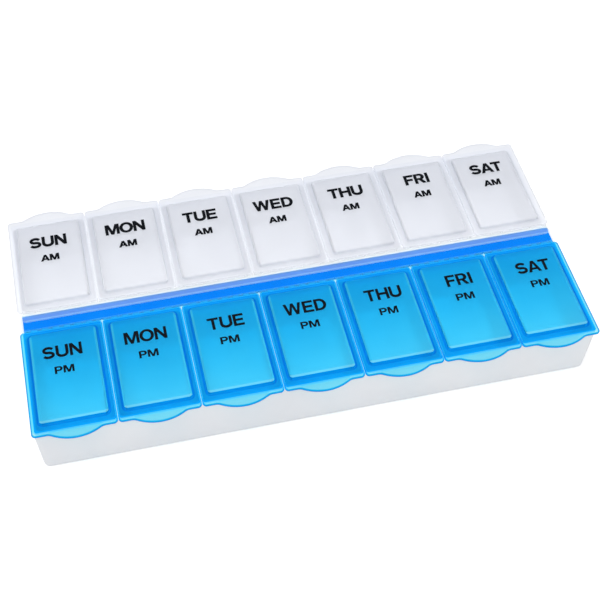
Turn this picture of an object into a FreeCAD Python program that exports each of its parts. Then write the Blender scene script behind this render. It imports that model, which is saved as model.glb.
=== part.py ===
# Weekly pill organizer: one tray with two rows of seven compartments, each closed by a flip lid.
# X runs along the days (Sunday at -X), Y from the evening row at the front to the morning row at
# the back, Z up. The origin is on the table, under the middle of the tray. Millimetres.
import FreeCAD, Part
import math
import os
import re
import Sketcher

DAYS = ["sunday", "monday", "tuesday", "wednesday", "thursday", "friday", "saturday"]
ROWS = {"pm": -1, "am": 1}  # the side of the tray's middle that the row lies on

# Driving dimensions, in mm and degrees: alias, value, what it is.
SIZES = [
    ("lid_pitch", 31.0, "spacing of the lids along the tray"),
    ("lid_gap", 0.45, "slit between two lids"),
    ("end_lip", 0.775, "how much further out the first and last lids reach"),
    ("lid_depth", 48.3, "lid from its hinge edge to its outer edge, without the tab"),
    ("lid_plate", 1.0, "thickness of the lid's flange"),
    ("lid_seat", 0.1, "clearance between a closed flange and the rim"),
    ("lid_corner", 1.5, "corner radius of the flange"),
    ("panel_rise", 1.3, "height of the raised panel above the flange"),
    ("panel_plate", 1.0, "thickness of the raised panel"),
    ("panel_side", 2.5, "flange left beside the panel"),
    ("panel_outer", 4.5, "flange left between the panel and the outer edge"),
    ("panel_inner", 2.7, "flange left between the panel and the hinge edge"),
    ("panel_corner", 1.4, "corner radius of the panel"),
    ("panel_bevel", 0.8, "bevel round the panel's top"),
    ("ring_wall", 0.9, "wall of the panel's sides and of the plug ring below"),
    ("ring_depth", 1.6, "how far the plug ring reaches into the compartment"),
    ("bead_rise", 0.4, "how far the closing bead stands out from the plug ring"),
    ("bead_width", 0.9, "closing bead where it meets the ring"),
    ("bead_length", 12.0, "length of the closing bead"),
    ("tab_width", 19.5, "chord of the thumb tab's arc"),
    ("tab_reach", 3.0, "how far the thumb tab stands out from the lid"),
    ("tab_root", 1.0, "how far the tab's outline starts inside the flange"),
    ("tab_blend", 3.5, "radius between the tab and the lid's outer edge"),
    ("spine_width", 10.1, "distance between the hinge edges of the two rows of lids"),
    ("film_width", 0.9, "free width of the hinge film between strip and lid"),
    ("film_plate", 0.3, "thickness of the hinge film"),
    ("film_set", 0.1, "how far the film lies below the lid's top face"),
    ("film_tongue", 2.4, "length of one tongue of the film"),
    ("film_spacing", 4.2, "spacing of the tongues"),
    ("film_count", 6, "tongues per lid"),
    ("tray_rim", 24.0, "height of the tray's rim above the table"),
    ("tray_overhang", 1.4, "how far the lids stand out past the rim's front and back"),
    ("end_overhang", 0.4, "how far the first and last lids stand out past the rim's ends"),
    ("tray_wall", 1.5, "outer walls, and the walls beside the middle channel"),
    ("tray_floor", 1.5, "floor of the compartments"),
    ("tray_divider", 1.5, "dividers between compartments, at the rim"),
    ("tray_draft", 2.4, "draft angle of the outer walls"),
    ("tray_corner", 2.5, "radius of the tray's upright corners"),
    ("foot_bevel", 0.9, "bevel round the tray's underside"),
    ("pocket_draft", 1.0, "draft angle inside the compartments and the channel"),
    ("pocket_round", 4.0, "hollow curve between a compartment's long sides and its floor"),
    ("hinge_land", 1.1, "rim left under the lid, inside its hinge edge"),
    ("deck_plate", 3.2, "thickness of the middle deck above its channel"),
    ("strip_inset", 1.3, "how far the hinge strips end inside the rim's ends"),
    ("blue_rear", 2.8, "rear edge of the front row's strip, behind the tray's middle"),
    ("lip_overlap", 3.3, "how far the back row's strip lies over the front row's strip"),
    ("lip_plate", 1.0, "thickness of that overlapping lip"),
    ("lip_shoulder", 0.75, "slope from the lip down to the back row's hinge film"),
    ("lip_corner", 1.3, "rounding of the lip's corners"),
    ("tongue_wall", 0.8, "thickness of the rib that holds a strip in the deck"),
    ("tongue_depth", 1.6, "depth of that rib"),
    ("tongue_inset", 4.0, "how far the rib ends inside the strip's ends"),
    ("strip_fit", 0.1, "clearance of the ribs in their grooves, and between the strips"),
]

doc = FreeCAD.newDocument("pill_organizer")
sheet = doc.addObject("Spreadsheet::Sheet", "Sizes")
for row, (alias, number, note) in enumerate(SIZES, start=1):
    sheet.set(f"A{row}", note)
    sheet.set(f"B{row}", str(number))
    sheet.setAlias(f"B{row}", alias)
doc.recompute()
ALIASES = {alias for alias, number, note in SIZES}


def cells(text):
    """An expression in which every alias is read from the sheet."""
    return re.sub("[a-z_]+", lambda w: ("Sizes." if w[0] in ALIASES else "") + w[0], text)


def value(text):
    """What such an expression comes to now."""
    return float(sheet.evalExpression(cells(text)))


# Sizes that several pieces share, as expressions of the driving ones.
TRAY_HALF_X = f"({len(DAYS) / 2} * lid_pitch - lid_gap / 2 + end_lip - end_overhang)"
TRAY_HALF_Y = "(spine_width / 2 + lid_depth - tray_overhang)"
FLANGE_UNDER = "(tray_rim + lid_seat)"
FLANGE_TOP = "(tray_rim + lid_seat + lid_plate)"
STRIP_EDGE = "(spine_width / 2 - film_width)"
STRIP_HALF_X = f"({TRAY_HALF_X} - strip_inset)"
LAND_EDGE = "(spine_width / 2 + hinge_land)"
RIB_PLACE = f"(({STRIP_EDGE} + blue_rear + strip_fit) / 2)"


def column_centre(column):
    """Where a day's compartment and lids have their middle, along X."""
    return f"({column - (len(DAYS) - 1) / 2} * lid_pitch)"


def bind(thing, **expressions):
    """Ties properties of an object to the sheet. A double underscore stands for a dot."""
    for name, text in expressions.items():
        thing.setExpression(name.replace("__", "."), cells(text))


def new_body(label):
    body = doc.addObject("PartDesign::Body", label)
    body.Label = label
    return body


def place(thing, across="0", along="0", height="0", half_turn=False):
    """Puts a sub-part in the tray's frame, turned half round Z for the back row."""
    if half_turn:
        thing.Placement.Rotation = FreeCAD.Rotation(FreeCAD.Vector(0, 0, 1), 180)
    bind(thing, Placement__Base__x=across, Placement__Base__y=along, Placement__Base__z=height)


def new_sketch(body, name, role="XY_Plane", height="0"):
    """A sketch on one of the body's own origin planes, raised along that plane's normal."""
    sketch = body.newObject("Sketcher::SketchObject", f"{body.Name}_{name}")
    support = next(f for f in body.Origin.OriginFeatures if f.Role == role)
    sketch.AttachmentSupport = [(support, "")]
    sketch.MapMode = "FlatFace"
    bind(sketch, AttachmentOffset__Base__z=height)
    return sketch


def pin_down(sketch, geometry, end, name, across, along):
    """Fixes one end of a line or arc at two expressions, measured from the sketch's origin."""
    for kind, text in (("DistanceX", across), ("DistanceY", along)):
        if text is None:
            continue
        number = sketch.addConstraint(Sketcher.Constraint(kind, -1, 1, geometry, end, value(text)))
        sketch.renameConstraint(number, f"{name}_{kind[-1].lower()}")
        sketch.setExpression(f"Constraints.{name}_{kind[-1].lower()}", cells(text))


def draw_polygon(sketch, corners):
    """A closed outline of straight sides, with each corner tied to its two expressions."""
    points = [FreeCAD.Vector(value(a), value(b), 0) for a, b in corners]
    for number, start in enumerate(points):
        end = points[(number + 1) % len(points)]
        sketch.addGeometry(Part.LineSegment(start, end), False)
    for number, (across, along) in enumerate(corners):
        before = (number - 1) % len(corners)
        sketch.addConstraint(Sketcher.Constraint("Coincident", before, 2, number, 1))
        pin_down(sketch, number, 1, f"corner{number}", across, along)


def draw_rounded_rectangle(sketch, left, right, front, back, corner):
    """Four sides and four tangent corner arcs, tied to the expressions of the sides."""
    x0, x1, y0, y1, r = (value(text) for text in (left, right, front, back, corner))
    quarter = math.pi / 2
    ends = [
        ((x0 + r, y0), (x1 - r, y0)),
        ((x1, y0 + r), (x1, y1 - r)),
        ((x1 - r, y1), (x0 + r, y1)),
        ((x0, y1 - r), (x0, y0 + r)),
    ]
    centres = [(x1 - r, y0 + r), (x1 - r, y1 - r), (x0 + r, y1 - r), (x0 + r, y0 + r)]
    for start, end in ends:
        line = Part.LineSegment(FreeCAD.Vector(*start, 0), FreeCAD.Vector(*end, 0))
        sketch.addGeometry(line, False)
    for turn, centre in enumerate(centres):
        circle = Part.Circle(FreeCAD.Vector(*centre, 0), FreeCAD.Vector(0, 0, 1), r)
        arc = Part.ArcOfCircle(circle, (turn - 1) * quarter, turn * quarter)
        sketch.addGeometry(arc, False)
    for side in range(4):
        arc, following = 4 + side, (side + 1) % 4
        sketch.addConstraint(Sketcher.Constraint("Tangent", side, 2, arc, 1))
        sketch.addConstraint(Sketcher.Constraint("Tangent", arc, 2, following, 1))
        sketch.addConstraint(Sketcher.Constraint(("Horizontal", "Vertical")[side % 2], side))
    for arc in (5, 6, 7):
        sketch.addConstraint(Sketcher.Constraint("Equal", 4, arc))
    number = sketch.addConstraint(Sketcher.Constraint("Radius", 4, r))
    sketch.renameConstraint(number, "corner")
    sketch.setExpression("Constraints.corner", cells(corner))
    pin_down(sketch, 0, 1, "front", None, front)
    pin_down(sketch, 1, 1, "right", right, None)
    pin_down(sketch, 2, 1, "back", None, back)
    pin_down(sketch, 3, 1, "left", left, None)


def extrude(body, kind, name, sketch, length, backwards=False, both_ways=False, taper=None):
    """A Pad or Pocket of a sketch, with its length tied to the sheet."""
    feature = body.newObject(f"PartDesign::{kind}", f"{body.Name}_{name}")
    feature.Profile = sketch
    feature.Reversed = backwards
    feature.Midplane = both_ways
    bind(feature, Length=length)
    if taper:
        bind(feature, TaperAngle=taper)
    doc.recompute()
    return feature


def dress_edges(body, kind, name, measure, size, chosen):
    """A Fillet or Chamfer on the edges of the last feature whose bounding box passes the test."""
    base = body.Tip
    edges = enumerate(base.Shape.Edges, start=1)
    names = [f"Edge{number}" for number, edge in edges if chosen(edge.BoundBox)]
    if not names:
        raise RuntimeError(f"{body.Label} has no edge for {name}")
    feature = body.newObject(f"PartDesign::{kind}", f"{body.Name}_{name}")
    feature.Base = (base, names)
    bind(feature, **{measure: size})
    doc.recompute()


def round_edges(body, name, radius, chosen):
    dress_edges(body, "Fillet", name, "Radius", radius, chosen)


def bevel_edges(body, name, size, chosen):
    dress_edges(body, "Chamfer", name, "Size", size, chosen)


def same(a, b):
    return abs(a - b) < 1e-4


def is_upright(box):
    """True for the bounding box of an edge that runs along Z."""
    return same(box.XLength, 0) and same(box.YLength, 0)


# ---------------------------------------------------------------- lids
# A lid is modelled with its hinge edge on the X axis, its flange's underside on Z = 0 and its
# outer edge and thumb tab towards -Y.


def add_flange(lid, lip_left, lip_right):
    half = "(lid_pitch - lid_gap) / 2"
    outline = new_sketch(lid, "flange_outline")
    left, right = f"-{half} - {lip_left}", f"{half} + {lip_right}"
    draw_rounded_rectangle(outline, left, right, "-lid_depth", "0", "lid_corner")
    extrude(lid, "Pad", "flange", outline, "lid_plate")


def add_thumb_tab(lid):
    """A shallow arc on the outer edge, blended into it with two hollow curves."""
    tab = new_sketch(lid, "tab_outline")
    half, reach, edge = value("tab_width / 2"), value("tab_reach"), value("-lid_depth")
    inside = value("-lid_depth + tab_root")
    left, right = FreeCAD.Vector(-half, edge, 0), FreeCAD.Vector(half, edge, 0)
    tip = FreeCAD.Vector(0, edge - reach, 0)
    root_left, root_right = FreeCAD.Vector(-half, inside, 0), FreeCAD.Vector(half, inside, 0)
    tab.addGeometry(Part.Arc(left, tip, right), False)
    tab.addGeometry(Part.LineSegment(right, root_right), False)
    tab.addGeometry(Part.LineSegment(root_right, root_left), False)
    tab.addGeometry(Part.LineSegment(root_left, left), False)
    for geometry in range(4):
        following = (geometry + 1) % 4
        tab.addConstraint(Sketcher.Constraint("Coincident", geometry, 2, following, 1))
    pin_down(tab, 1, 1, "right_end", "tab_width / 2", "-lid_depth")
    pin_down(tab, 2, 1, "right_root", "tab_width / 2", "-lid_depth + tab_root")
    pin_down(tab, 3, 1, "left_root", "-tab_width / 2", "-lid_depth + tab_root")
    pin_down(tab, 0, 1, "left_end", "-tab_width / 2", "-lid_depth")
    radius = "(tab_width * tab_width / 4 + tab_reach * tab_reach) / (2 * tab_reach)"
    number = tab.addConstraint(Sketcher.Constraint("Radius", 0, value(radius)))
    tab.renameConstraint(number, "arc")
    tab.setExpression("Constraints.arc", cells(radius))
    extrude(lid, "Pad", "tab", tab, "lid_plate")

    def where_tab_meets_edge(box):
        return is_upright(box) and same(abs(box.XMin), half) and same(box.YMin, edge)

    round_edges(lid, "tab_blend", "tab_blend", where_tab_meets_edge)


def panel_sides(inset="0"):
    """Left, right, front and back of the raised panel, or of a frame that far inside it."""
    half = f"((lid_pitch - lid_gap) / 2 - panel_side - {inset})"
    return f"-{half}", half, f"-lid_depth + panel_outer + {inset}", f"-panel_inner - {inset}"


def draw_rectangle(sketch, left, right, front, back):
    draw_polygon(sketch, [(left, front), (right, front), (right, back), (left, back)])


def add_panel(lid):
    """The raised panel, hollow from below, and the plug ring that drops into the compartment."""
    outline = new_sketch(lid, "panel_outline", height="lid_plate")
    draw_rounded_rectangle(outline, *panel_sides(), "panel_corner")
    extrude(lid, "Pad", "panel", outline, "panel_rise")
    top = value("lid_plate + panel_rise")
    bevel_edges(lid, "panel_bevel", "panel_bevel", lambda box: same(box.ZMin, top))
    ring = new_sketch(lid, "ring_outline")
    draw_rectangle(ring, *panel_sides())
    extrude(lid, "Pad", "ring", ring, "ring_depth", backwards=True)
    hollow = new_sketch(lid, "hollow_outline", height="-ring_depth")
    draw_rectangle(hollow, *panel_sides("ring_wall"))
    depth = "ring_depth + lid_plate + panel_rise - panel_plate"
    extrude(lid, "Pocket", "hollow", hollow, depth, backwards=True)


def add_bead(lid):
    """A ridge along the plug ring's outer side, which snaps past the tray's wall."""
    face, low = "-lid_depth + panel_outer", "-ring_depth"
    crest, slope = f"{face} - bead_rise", "bead_width / 4"
    bead = new_sketch(lid, "bead_profile", role="YZ_Plane")
    corners = [
        (face, low),
        (face, f"{low} + bead_width"),
        (crest, f"{low} + bead_width - {slope}"),
        (crest, f"{low} + {slope}"),
    ]
    draw_polygon(bead, corners)
    extrude(lid, "Pad", "bead", bead, "bead_length", both_ways=True)


def make_lid(day, row, column):
    side = ROWS[row]
    lid = new_body(f"{day}_{row}_lid")
    outermost = {0: -1, len(DAYS) - 1: 1}.get(column, 0) * -side
    lip_left = "end_lip" if outermost < 0 else "0"
    lip_right = "end_lip" if outermost > 0 else "0"
    add_flange(lid, lip_left, lip_right)
    add_thumb_tab(lid)
    add_panel(lid)
    add_bead(lid)
    place(lid, column_centre(column), f"{side} * spine_width / 2", FLANGE_UNDER, side > 0)
    return lid


def make_hinge(day, row, column):
    """The living hinge of one lid: a row of thin film tongues between the strip and the lid."""
    side = ROWS[row]
    hinge = new_body(f"{day}_{row}_hinge")
    first = "-(film_count - 1) / 2 * film_spacing"
    left, right = f"{first} - film_tongue / 2", f"{first} + film_tongue / 2"
    height = "lid_plate - film_set - film_plate"
    tongue = new_sketch(hinge, "tongue_outline", height=height)
    corners = [(left, "0"), (right, "0"), (right, "film_width"), (left, "film_width")]
    draw_polygon(tongue, corners)
    pad = extrude(hinge, "Pad", "tongue", tongue, "film_plate")
    pattern = hinge.newObject("PartDesign::LinearPattern", f"{hinge.Name}_tongues")
    pattern.Originals = [pad]
    pattern.Direction = (tongue, ["H_Axis"])
    pattern.Mode = "Spacing"
    bind(pattern, Offset="film_spacing", Occurrences="film_count")
    hinge.Tip = pattern
    place(hinge, column_centre(column), f"{side} * spine_width / 2", FLANGE_UNDER, side > 0)
    return hinge


# ---------------------------------------------------------------- hinge strips
# Both strips have the same cross-section along their whole length, drawn looking along X, and a
# rib below that holds them in a groove of the tray's deck.


def add_rib(strip, place_y):
    rib = new_sketch(strip, "rib_profile", role="YZ_Plane")
    near, far = f"{place_y} - tongue_wall / 2", f"{place_y} + tongue_wall / 2"
    low = "tray_rim - tongue_depth"
    draw_polygon(rib, [(near, low), (far, low), (far, "tray_rim"), (near, "tray_rim")])
    extrude(strip, "Pad", "rib", rib, f"2 * ({STRIP_HALF_X} - tongue_inset)", both_ways=True)


def make_pm_strip():
    """A flat bar, level with the flanges of the front row."""
    strip = new_body("pm_hinge_strip")
    bar = new_sketch(strip, "bar_profile", role="YZ_Plane")
    edge = f"-{STRIP_EDGE}"
    corners = [(edge, "tray_rim"), ("blue_rear", "tray_rim"), ("blue_rear", FLANGE_TOP)]
    draw_polygon(bar, corners + [(edge, FLANGE_TOP)])
    extrude(strip, "Pad", "bar", bar, f"2 * {STRIP_HALF_X}", both_ways=True)
    add_rib(strip, f"-{RIB_PLACE}")
    place(strip)
    return strip


def make_am_strip():
    """A bar on the deck whose lip lies over the front row's strip."""
    strip = new_body("am_hinge_strip")
    bar = new_sketch(strip, "bar_profile", role="YZ_Plane")
    foot, lip_edge = "blue_rear + strip_fit", "blue_rear - lip_overlap"
    lip_top = f"{FLANGE_TOP} + lip_plate"
    corners = [
        (foot, "tray_rim"),
        (STRIP_EDGE, "tray_rim"),
        (STRIP_EDGE, FLANGE_TOP),
        (f"{STRIP_EDGE} - lip_shoulder", lip_top),
        (lip_edge, lip_top),
        (lip_edge, FLANGE_TOP),
        (foot, FLANGE_TOP),
    ]
    draw_polygon(bar, corners)
    extrude(strip, "Pad", "bar", bar, f"2 * {STRIP_HALF_X}", both_ways=True)
    front = value(lip_edge)

    def is_lip_corner(box):
        return is_upright(box) and same(box.YMin, front)

    round_edges(strip, "lip_corners", "lip_corner", is_lip_corner)
    add_rib(strip, RIB_PLACE)
    place(strip)
    return strip


# ---------------------------------------------------------------- tray
# The tray is a drafted block from which cores take the compartments, the channel under the
# middle deck and the two grooves of the strips' ribs.


def make_tray_block():
    block = new_body("tray_block")
    rim = new_sketch(block, "rim_outline", height="tray_rim")
    half_x, half_y = TRAY_HALF_X, TRAY_HALF_Y
    draw_rectangle(rim, f"-{half_x}", half_x, f"-{half_y}", half_y)
    extrude(block, "Pad", "walls", rim, "tray_rim", backwards=True, taper="-tray_draft")
    rise = value("tray_rim")
    round_edges(block, "corners", "tray_corner", lambda box: same(box.ZLength, rise))
    bevel_edges(block, "foot", "foot_bevel", lambda box: same(box.ZMax, 0))
    return block


def column_sides(column):
    """Left and right faces of a day's compartments at the rim, along X."""
    boundary = f"({column - len(DAYS) / 2} * lid_pitch)"
    left = f"{boundary} + tray_divider / 2"
    right = f"{boundary} + lid_pitch - tray_divider / 2"
    if column == 0:
        left = f"-{TRAY_HALF_X} + tray_wall"
    if column == len(DAYS) - 1:
        right = f"{TRAY_HALF_X} - tray_wall"
    return left, right


def make_core(label, column, mouth, end, near, far):
    """A core as wide as a day's compartments at its mouth, drafted towards its end."""
    core = new_body(label)
    left, right = column_sides(column)
    lean = f"abs({mouth} - ({end})) * tan(pocket_draft)"
    profile = new_sketch(core, "profile", role="XZ_Plane", height=f"-({near})")
    corners = [(left, mouth), (right, mouth), (f"{right} - {lean}", end), (f"{left} + {lean}", end)]
    draw_polygon(profile, corners)
    extrude(core, "Pad", "core", profile, f"{far} - ({near})", backwards=True)
    return core


def make_compartment_core(day, row, column):
    """A trough whose long sides curve into its floor, so that a finger can slide a pill out."""
    near, far = LAND_EDGE, f"{TRAY_HALF_Y} - tray_wall"
    if ROWS[row] < 0:
        near, far = f"-({far})", f"-({near})"
    core = make_core(f"{day}_{row}_core", column, "tray_rim", "tray_floor", near, far)
    floor, length = value("tray_floor"), value(f"{far} - ({near})")

    def is_long_floor_edge(box):
        return same(box.ZMax, floor) and same(box.YLength, length)

    round_edges(core, "trough", "pocket_round", is_long_floor_edge)
    return core


def make_channel_core(day, column):
    """Hollows the deck from below between two cross walls."""
    half = f"({LAND_EDGE} - tray_wall)"
    top = "tray_rim - deck_plate"
    return make_core(f"{day}_channel_core", column, "0", top, f"-{half}", half)


def make_groove(label, place_y):
    """The slot in the deck for one strip's rib."""
    groove = doc.addObject("Part::Box", label)
    half_length = f"({STRIP_HALF_X} - tongue_inset + strip_fit)"
    bind(
        groove,
        Length=f"2 * {half_length}",
        Width="tongue_wall + 2 * strip_fit",
        Height="tongue_depth + strip_fit",
        Placement__Base__x=f"-{half_length}",
        Placement__Base__y=f"{place_y} - tongue_wall / 2 - strip_fit",
        Placement__Base__z="tray_rim - tongue_depth - strip_fit",
    )
    return groove


def make_tray():
    cores = [make_groove("pm_groove", f"-{RIB_PLACE}"), make_groove("am_groove", RIB_PLACE)]
    for column, day in enumerate(DAYS):
        cores.append(make_channel_core(day, column))
        for row in ROWS:
            cores.append(make_compartment_core(day, row, column))
    tools = doc.addObject("Part::Compound", "tray_cores")
    tools.Links = cores
    tray = doc.addObject("Part::Cut", "base_tray")
    tray.Base = make_tray_block()
    tray.Tool = tools
    tray.Label = "base_tray"
    return tray


# ---------------------------------------------------------------- assembly

pieces = [make_tray(), make_pm_strip(), make_am_strip()]
for row_name in ROWS:
    for column_number, day_name in enumerate(DAYS):
        pieces.append(make_lid(day_name, row_name, column_number))
        pieces.append(make_hinge(day_name, row_name, column_number))
doc.recompute()

for thing in doc.Objects:
    if "Invalid" in thing.State or "Error" in thing.State:
        raise RuntimeError(f"{thing.Label} failed: {thing.State}")
os.makedirs("parts", exist_ok=True)
for piece in pieces:
    if piece.Shape.isNull() or not piece.Shape.isValid():
        raise RuntimeError(f"{piece.Label} has no valid shape")
    piece.Shape.exportStep(f"parts/{piece.Label}.step")
    solids, volume = len(piece.Shape.Solids), piece.Shape.Volume
    print(f"{piece.Label}: {solids} solid(s), {volume:.1f} mm3")
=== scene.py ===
import math

import bmesh
import bpy
from mathutils import Matrix, Vector


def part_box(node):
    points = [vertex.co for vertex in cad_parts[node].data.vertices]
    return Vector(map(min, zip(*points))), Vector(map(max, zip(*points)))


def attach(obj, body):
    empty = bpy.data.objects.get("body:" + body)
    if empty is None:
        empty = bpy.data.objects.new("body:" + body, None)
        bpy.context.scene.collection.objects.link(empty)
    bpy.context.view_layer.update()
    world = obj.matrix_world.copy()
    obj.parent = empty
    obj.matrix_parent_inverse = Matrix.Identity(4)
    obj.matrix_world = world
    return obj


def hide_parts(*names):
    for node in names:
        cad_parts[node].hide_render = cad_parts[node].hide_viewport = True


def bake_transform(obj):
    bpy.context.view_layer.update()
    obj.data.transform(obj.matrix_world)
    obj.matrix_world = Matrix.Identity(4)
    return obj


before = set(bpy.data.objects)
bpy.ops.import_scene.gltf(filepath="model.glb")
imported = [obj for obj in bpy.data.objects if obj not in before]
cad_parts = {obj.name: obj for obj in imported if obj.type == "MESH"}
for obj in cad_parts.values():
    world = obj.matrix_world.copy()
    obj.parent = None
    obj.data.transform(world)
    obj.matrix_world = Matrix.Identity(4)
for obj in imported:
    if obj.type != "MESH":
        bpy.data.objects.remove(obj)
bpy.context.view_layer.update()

# A weekly pill organizer: a white tray with two rows of seven compartments, a blue hinge strip and
# blue lids on the evening row, a frosted strip and frosted lids on the morning row.
# Outlines and profiles are in millimetres; MM turns them into the frame's metres.
MM = 0.001
DAYS = ("sunday", "monday", "tuesday", "wednesday", "thursday", "friday", "saturday")
ROW_SIDE = {"pm": -1, "am": 1}
PITCH = 31.0
HALF_PITCH = PITCH / 2
RIM = 24.0
DIVIDER = 1.5
FLANGE_UNDER = 24.1
LID_PLATE = 1.0
FLANGE_TOP = FLANGE_UNDER + LID_PLATE
FLANGE_CORNER = 1.5
HINGE_EDGE = 5.05
STRIP_EDGE = 4.15
STRIP_HALF = 107.35
CORNER_STEPS = 8
# Points nearer than this are one point.
WELD = 0.002
# Between faces that meet at more than this angle an edge stays sharp.
SHARP_ANGLE = math.radians(40)


def day_centre(day):
    """Where the day's column stands along X."""
    return (DAYS.index(day) - len(DAYS) // 2) * PITCH


# ---------------- outlines and skins


def arc(middle, radius, start, end, steps=5):
    """Points on a circle between two angles in degrees, both ends included."""
    turns = [math.radians(start + (end - start) * k / steps) for k in range(steps + 1)]
    return [(middle[0] + radius * math.cos(t), middle[1] + radius * math.sin(t)) for t in turns]


def rounded_outline(left, right, front, back, corner, along=(1, 1, 1)):
    """A rounded rectangle, anticlockwise from above. along gives the steps of the front, of each
    end and of the back, so that two outlines with the same steps can be skinned together."""
    near, ends, far = along
    corners = [
        arc((right - corner, front + corner), corner, -90, 0, CORNER_STEPS),
        arc((right - corner, back - corner), corner, 0, 90, CORNER_STEPS),
        arc((left + corner, back - corner), corner, 90, 180, CORNER_STEPS),
        arc((left + corner, front + corner), corner, 180, 270, CORNER_STEPS),
    ]
    points = []
    for number, (bend, steps) in enumerate(zip(corners, (ends, far, ends, near))):
        (x0, y0), (x1, y1) = bend[-1], corners[(number + 1) % 4][0]
        points += bend
        points += [
            (x0 + (x1 - x0) * k / steps, y0 + (y1 - y0) * k / steps) for k in range(1, steps)
        ]
    return points


def skin(rings, first_cap=True, last_cap=True, depth_and_painted_light=None):
    """A bmesh skinned over rings of (x, y, z) points in millimetres, all with the same count.
    The last argument says how deeply the plastic is tinted at each point of each ring, which on
    the lids and strips also carries painted shade and painted highlights: 1 where it isn't given."""
    shell = bmesh.new()
    layer = shell.verts.layers.float.new("depth_and_painted_light")
    rows = []
    for ring, depths_and_light in zip(rings, depth_and_painted_light or [[1.0] * len(ring) for ring in rings]):
        rows.append([shell.verts.new(Vector(point) * MM) for point in ring])
        for vert, depth_and_light in zip(rows[-1], depths_and_light):
            vert[layer] = depth_and_light
    for upper, lower in zip(rows, rows[1:]):
        for k in range(len(upper)):
            j = (k + 1) % len(upper)
            shell.faces.new((upper[k], lower[k], lower[j], upper[j]))
    if first_cap:
        shell.faces.new(rows[0])
    if last_cap:
        shell.faces.new(rows[-1][::-1])
    return shell


def as_mesh(shell, name, outwards=True):
    """The bmesh as a smooth-shaded mesh. On a closed shell the faces are turned outwards."""
    if outwards:
        bmesh.ops.recalc_face_normals(shell, faces=shell.faces[:])
    for face in shell.faces:
        face.smooth = True
    mesh = bpy.data.meshes.new(name)
    shell.to_mesh(mesh)
    shell.free()
    return mesh


def join_mesh(shell, mesh):
    """Adds the mesh to the bmesh, and removes it."""
    shell.from_mesh(mesh)
    bpy.data.meshes.remove(mesh)


def as_object(mesh, name):
    """A new object of the scene for a mesh, a curve, a lamp or a camera."""
    thing = bpy.data.objects.new(name, mesh)
    bpy.context.scene.collection.objects.link(thing)
    return thing


def evaluated_mesh(thing):
    """The object's mesh with its modifiers applied, as a plain mesh."""
    return bpy.data.meshes.new_from_object(
        thing.evaluated_get(bpy.context.evaluated_depsgraph_get())
    )


def settle(thing):
    """Applies the object's modifiers and removes them."""
    done = evaluated_mesh(thing)
    thing.modifiers.clear()
    thing.data = done
    return thing


def flatten_shading(thing):
    """Lets the wide flat faces keep their own normals, so that only the fillets look round."""
    thing.data.set_sharp_from_angle(angle=SHARP_ANGLE)
    weighted = thing.modifiers.new("flat_faces", "WEIGHTED_NORMAL")
    weighted.weight = 100
    weighted.keep_sharp = True
    return settle(thing)


def finish_piece(thing, body, material=None, stands_for=()):
    """Gives a rigid piece its material, and says what it rides on and stands for."""
    if material:
        thing.data.materials.clear()
        thing.data.materials.append(material)
    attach(thing, body)
    if stands_for:
        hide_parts(*stands_for)


# ---------------- node helpers


def add_node(tree, kind, settings=None, **inputs):
    """A node with its settings, and its inputs by name: a socket is linked, a value is set."""
    node = tree.nodes.new(kind)
    for name, setting in (settings or {}).items():
        setattr(node, name, setting)
    for name, value in inputs.items():
        socket = node.inputs[int(name[1:]) if name[1:].isdigit() else name.replace("_", " ")]
        if isinstance(value, bpy.types.NodeSocket):
            tree.links.new(value, socket)
        else:
            socket.default_value = value
    return node


def new_tree(name, **sockets):
    """An empty geometry tree with the named inputs, and its input and output nodes."""
    tree = bpy.data.node_groups.new(name, "GeometryNodeTree")
    tree.interface.new_socket("Geometry", in_out="INPUT", socket_type="NodeSocketGeometry")
    for label, kind in sockets.items():
        tree.interface.new_socket(
            label.replace("_", " "), in_out="INPUT", socket_type="NodeSocket" + kind
        )
    tree.interface.new_socket("Geometry", in_out="OUTPUT", socket_type="NodeSocketGeometry")
    return tree, tree.nodes.new("NodeGroupInput").outputs, tree.nodes.new("NodeGroupOutput").inputs


def new_material(name):
    """A material, its tree, its surface shader and the places on the object for its patterns."""
    material = bpy.data.materials.new(name)
    material.use_nodes = True
    tree = material.node_tree
    place = add_node(tree, "ShaderNodeTexCoord").outputs["Object"]
    return material, tree, tree.nodes["Principled BSDF"], place


def noise(tree, place, size, **settings):
    """A noise texture whose patches are about this many millimetres wide."""
    return add_node(
        tree, "ShaderNodeTexNoise", Vector=place, Scale=1 / (size * MM), **settings
    ).outputs["Fac"]


def shade_ramp(tree, factor, shades, stops=(0.0, 1.0)):
    """A colour that runs from one shade to the other as the factor goes between the stops."""
    ramp = add_node(tree, "ShaderNodeValToRGB", Fac=factor)
    for end, stop, shade in zip(ramp.color_ramp.elements, stops, shades):
        end.position, end.color = stop, (*shade, 1)
    return ramp.outputs["Color"]


def grow(thing, tree, **values):
    """Runs the tree on the object with these inputs, and keeps the result as a plain mesh."""
    modifier = thing.modifiers.new("grow", "NODES")
    modifier.node_group = tree
    for socket in tree.interface.items_tree:
        if socket.in_out == "INPUT" and socket.name.replace(" ", "_") in values:
            modifier[socket.identifier] = values[socket.name.replace(" ", "_")]
    return settle(thing)


# ---------------- moulded plastics

# How wide the patches of gloss, the cooling waves and the grain of the mould's steel are.
GLOSS_PATCH, COOLING_WAVE, MOULD_GRAIN = 6.0, 14.0, 0.45
PLASTIC_IOR, CLEAR_IOR = 1.45, 1.12
# Light that only passes through a clear plastic is tinted as if the plastic were this deep.
PASSING_DEPTH = 0.5
# Where most of a noise texture's values lie.
NOISE_SPAN = (0.3, 0.7)
INK_PATCH = 1.2
INK_SPAN = (0.35, 0.75)
INK_SHINE = 0.03


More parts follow.
